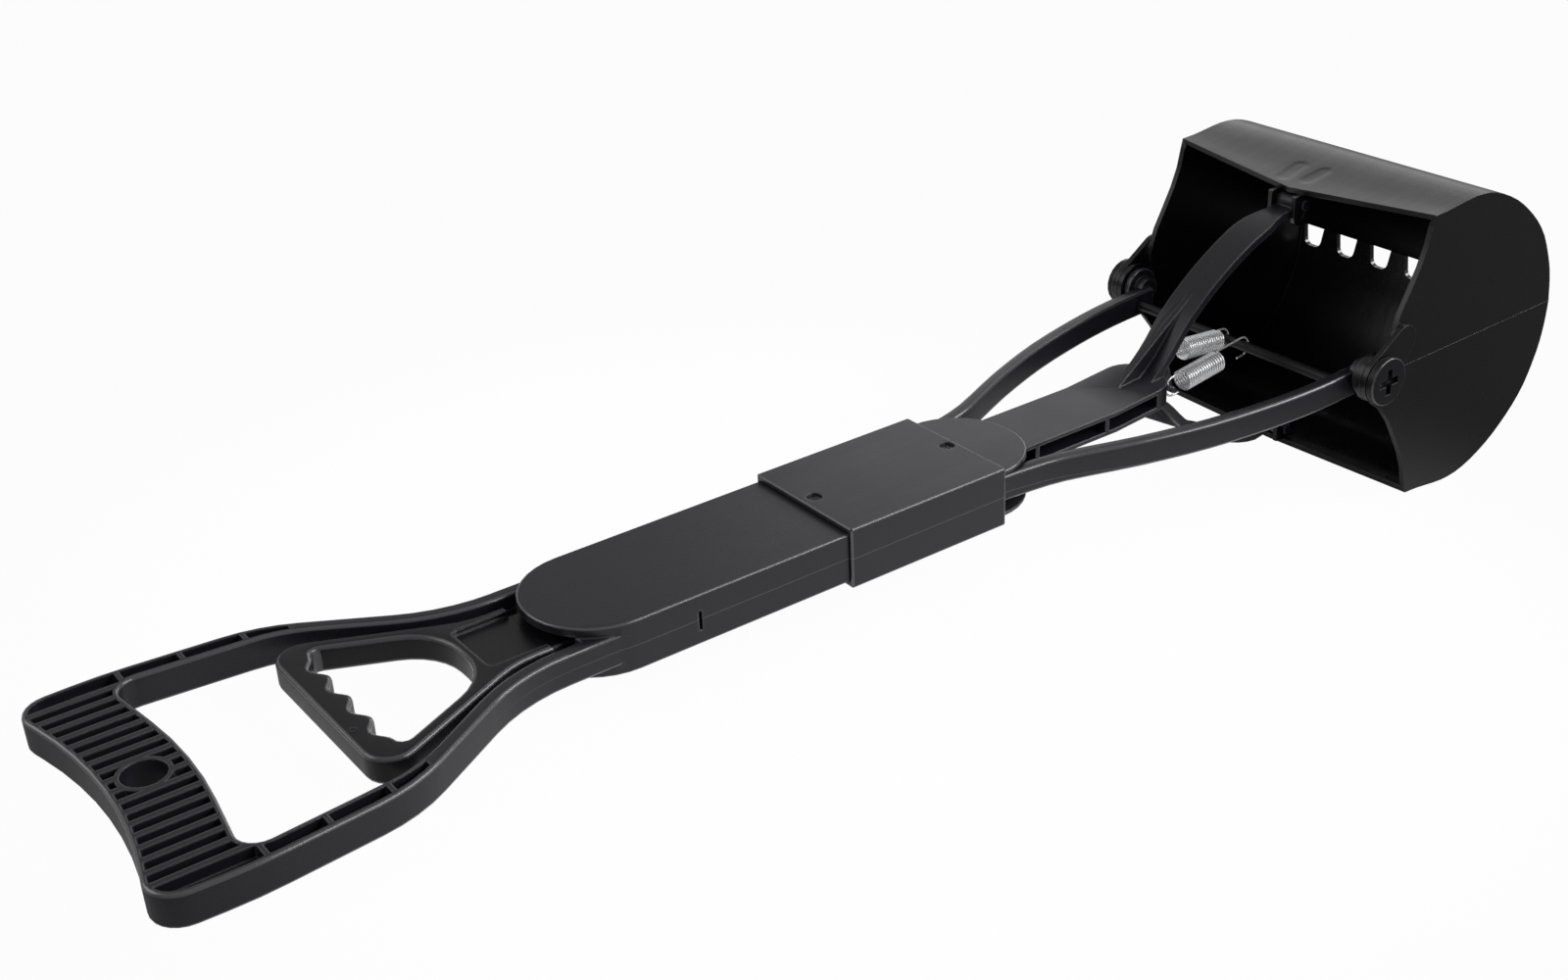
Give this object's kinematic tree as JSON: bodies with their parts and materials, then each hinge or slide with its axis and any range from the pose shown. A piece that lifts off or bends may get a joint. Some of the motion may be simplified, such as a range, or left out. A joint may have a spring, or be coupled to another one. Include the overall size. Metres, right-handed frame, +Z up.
{
  "type": "pooper scooper",
  "caption": "Long-handled pooper scooper: pulling the trigger in the D grip draws a wishbone rod that swings open the spring-closed scoop jaws.",
  "frame": {"origin": "centre of the bounding box at the floor, the tool lying as pictured on its grip and its lower scoop", "axes": "+X along the tool towards the scoops, +Y to its left, +Z up"},
  "size_m": [0.6406, 0.154, 0.1333],
  "materials": {
    "moulded_black": "satin moulded black plastic",
    "scoop_black": "semi-gloss moulded black plastic",
    "spring_steel": "bright zinc-plated wire",
    "screw_steel": "blackened steel"
  },
  "bodies": {
    "handle_and_fork": {"handle_frame": "moulded_black", "handle_sleeve": "moulded_black", "sleeve_screw_rear": "screw_steel", "sleeve_screw_front": "screw_steel", "fork_frame": "moulded_black", "spring_crossbar": "moulded_black", "pivot_pin_left": "moulded_black", "pivot_pin_right": "moulded_black"},
    "trigger_and_wishbone": {"trigger": "moulded_black", "coupling_key": "spring_steel", "wishbone": "moulded_black", "link_pin_upper": "moulded_black", "link_pin_lower": "moulded_black", "spring_left": "spring_steel", "spring_right": "spring_steel"},
    "upper_jaw": {"upper_scoop": "scoop_black"},
    "lower_jaw": {"lower_scoop": "scoop_black"}
  },
  "joints": [
    {"name": "trigger_pull", "type": "slide", "parent": "handle_and_fork", "child": "trigger_and_wishbone", "axis": [-0.9966, 0, -0.082], "range_m": [0, 0.036], "stiffness_N_per_m": 400, "springref_m": -0.012, "deforming": ["spring_left", "spring_right"]},
    {"name": "upper_jaw_swing", "type": "hinge", "parent": "handle_and_fork", "child": "upper_jaw", "pos_m": [0.20366, 0, 0.06264], "axis": [0, -1, 0], "range_deg": [0, 36.6]},
    {"name": "lower_jaw_swing", "type": "hinge", "parent": "handle_and_fork", "child": "lower_jaw", "pos_m": [0.20366, 0, 0.06264], "axis": [0, 1, 0], "range_deg": [0, 36.6]}
  ],
  "couplings": [
    {"joint": "upper_jaw_swing", "follows": "trigger_pull", "rad_per_m": 17.718},
    {"joint": "lower_jaw_swing", "follows": "trigger_pull", "rad_per_m": 17.718}
  ]
}
